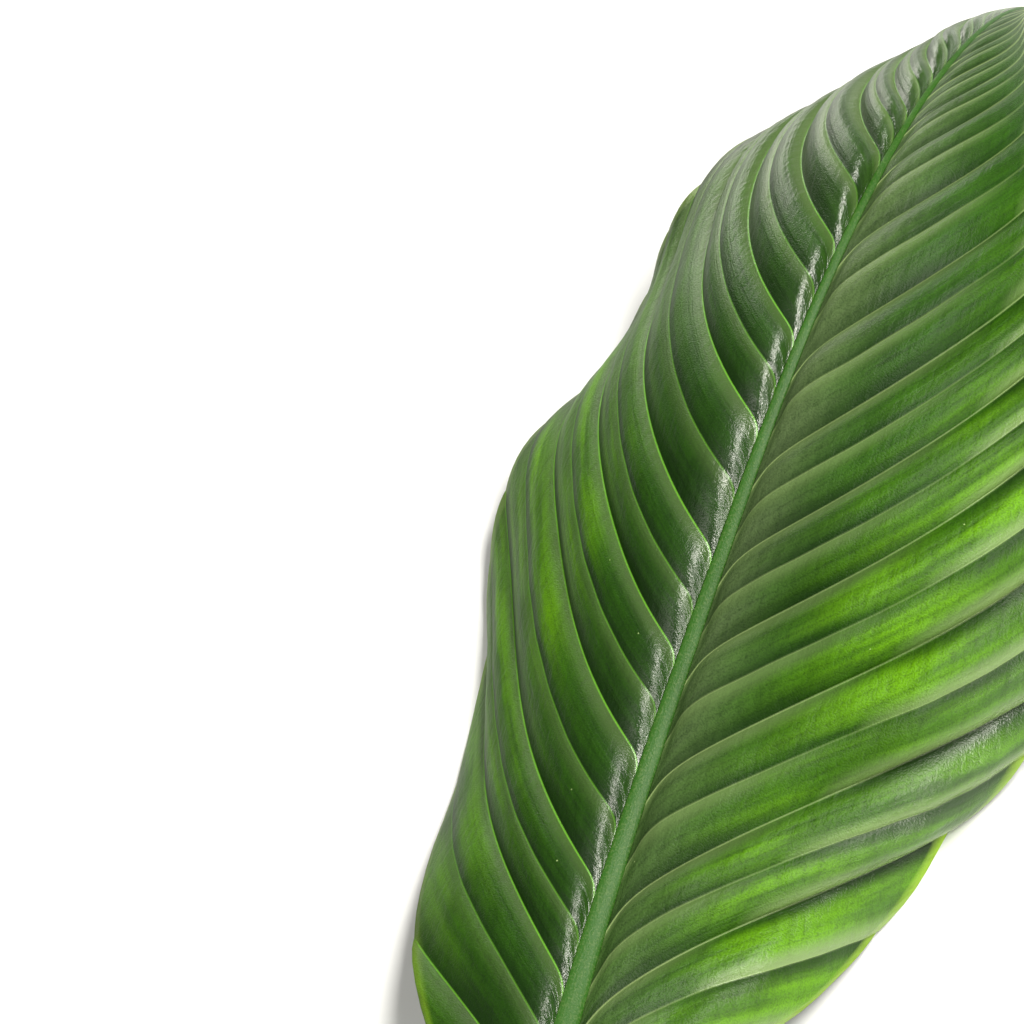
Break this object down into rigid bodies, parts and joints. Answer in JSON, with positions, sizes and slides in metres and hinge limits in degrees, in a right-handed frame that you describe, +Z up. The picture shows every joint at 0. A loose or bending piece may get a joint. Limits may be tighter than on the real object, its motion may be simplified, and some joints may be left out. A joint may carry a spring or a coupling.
{
  "type": "peace lily leaf",
  "caption": "Large ribbed peace lily leaf, picked with a piece of its stalk, lying on a surface with its glossy upper face up.",
  "frame": {"origin": "middle of the leaf's box, on the surface it lies on", "axes": "+Y from the cut stalk towards the tip, +Z up from the surface, upper face of the leaf up"},
  "size_m": [0.2016, 0.6094, 0.0811],
  "materials": {
    "leaf": "waxy satin leaf skin, deep green with pale veins and margin"
  },
  "bodies": {
    "root": {"peace_lily_leaf": "leaf"}
  },
  "joints": []
}
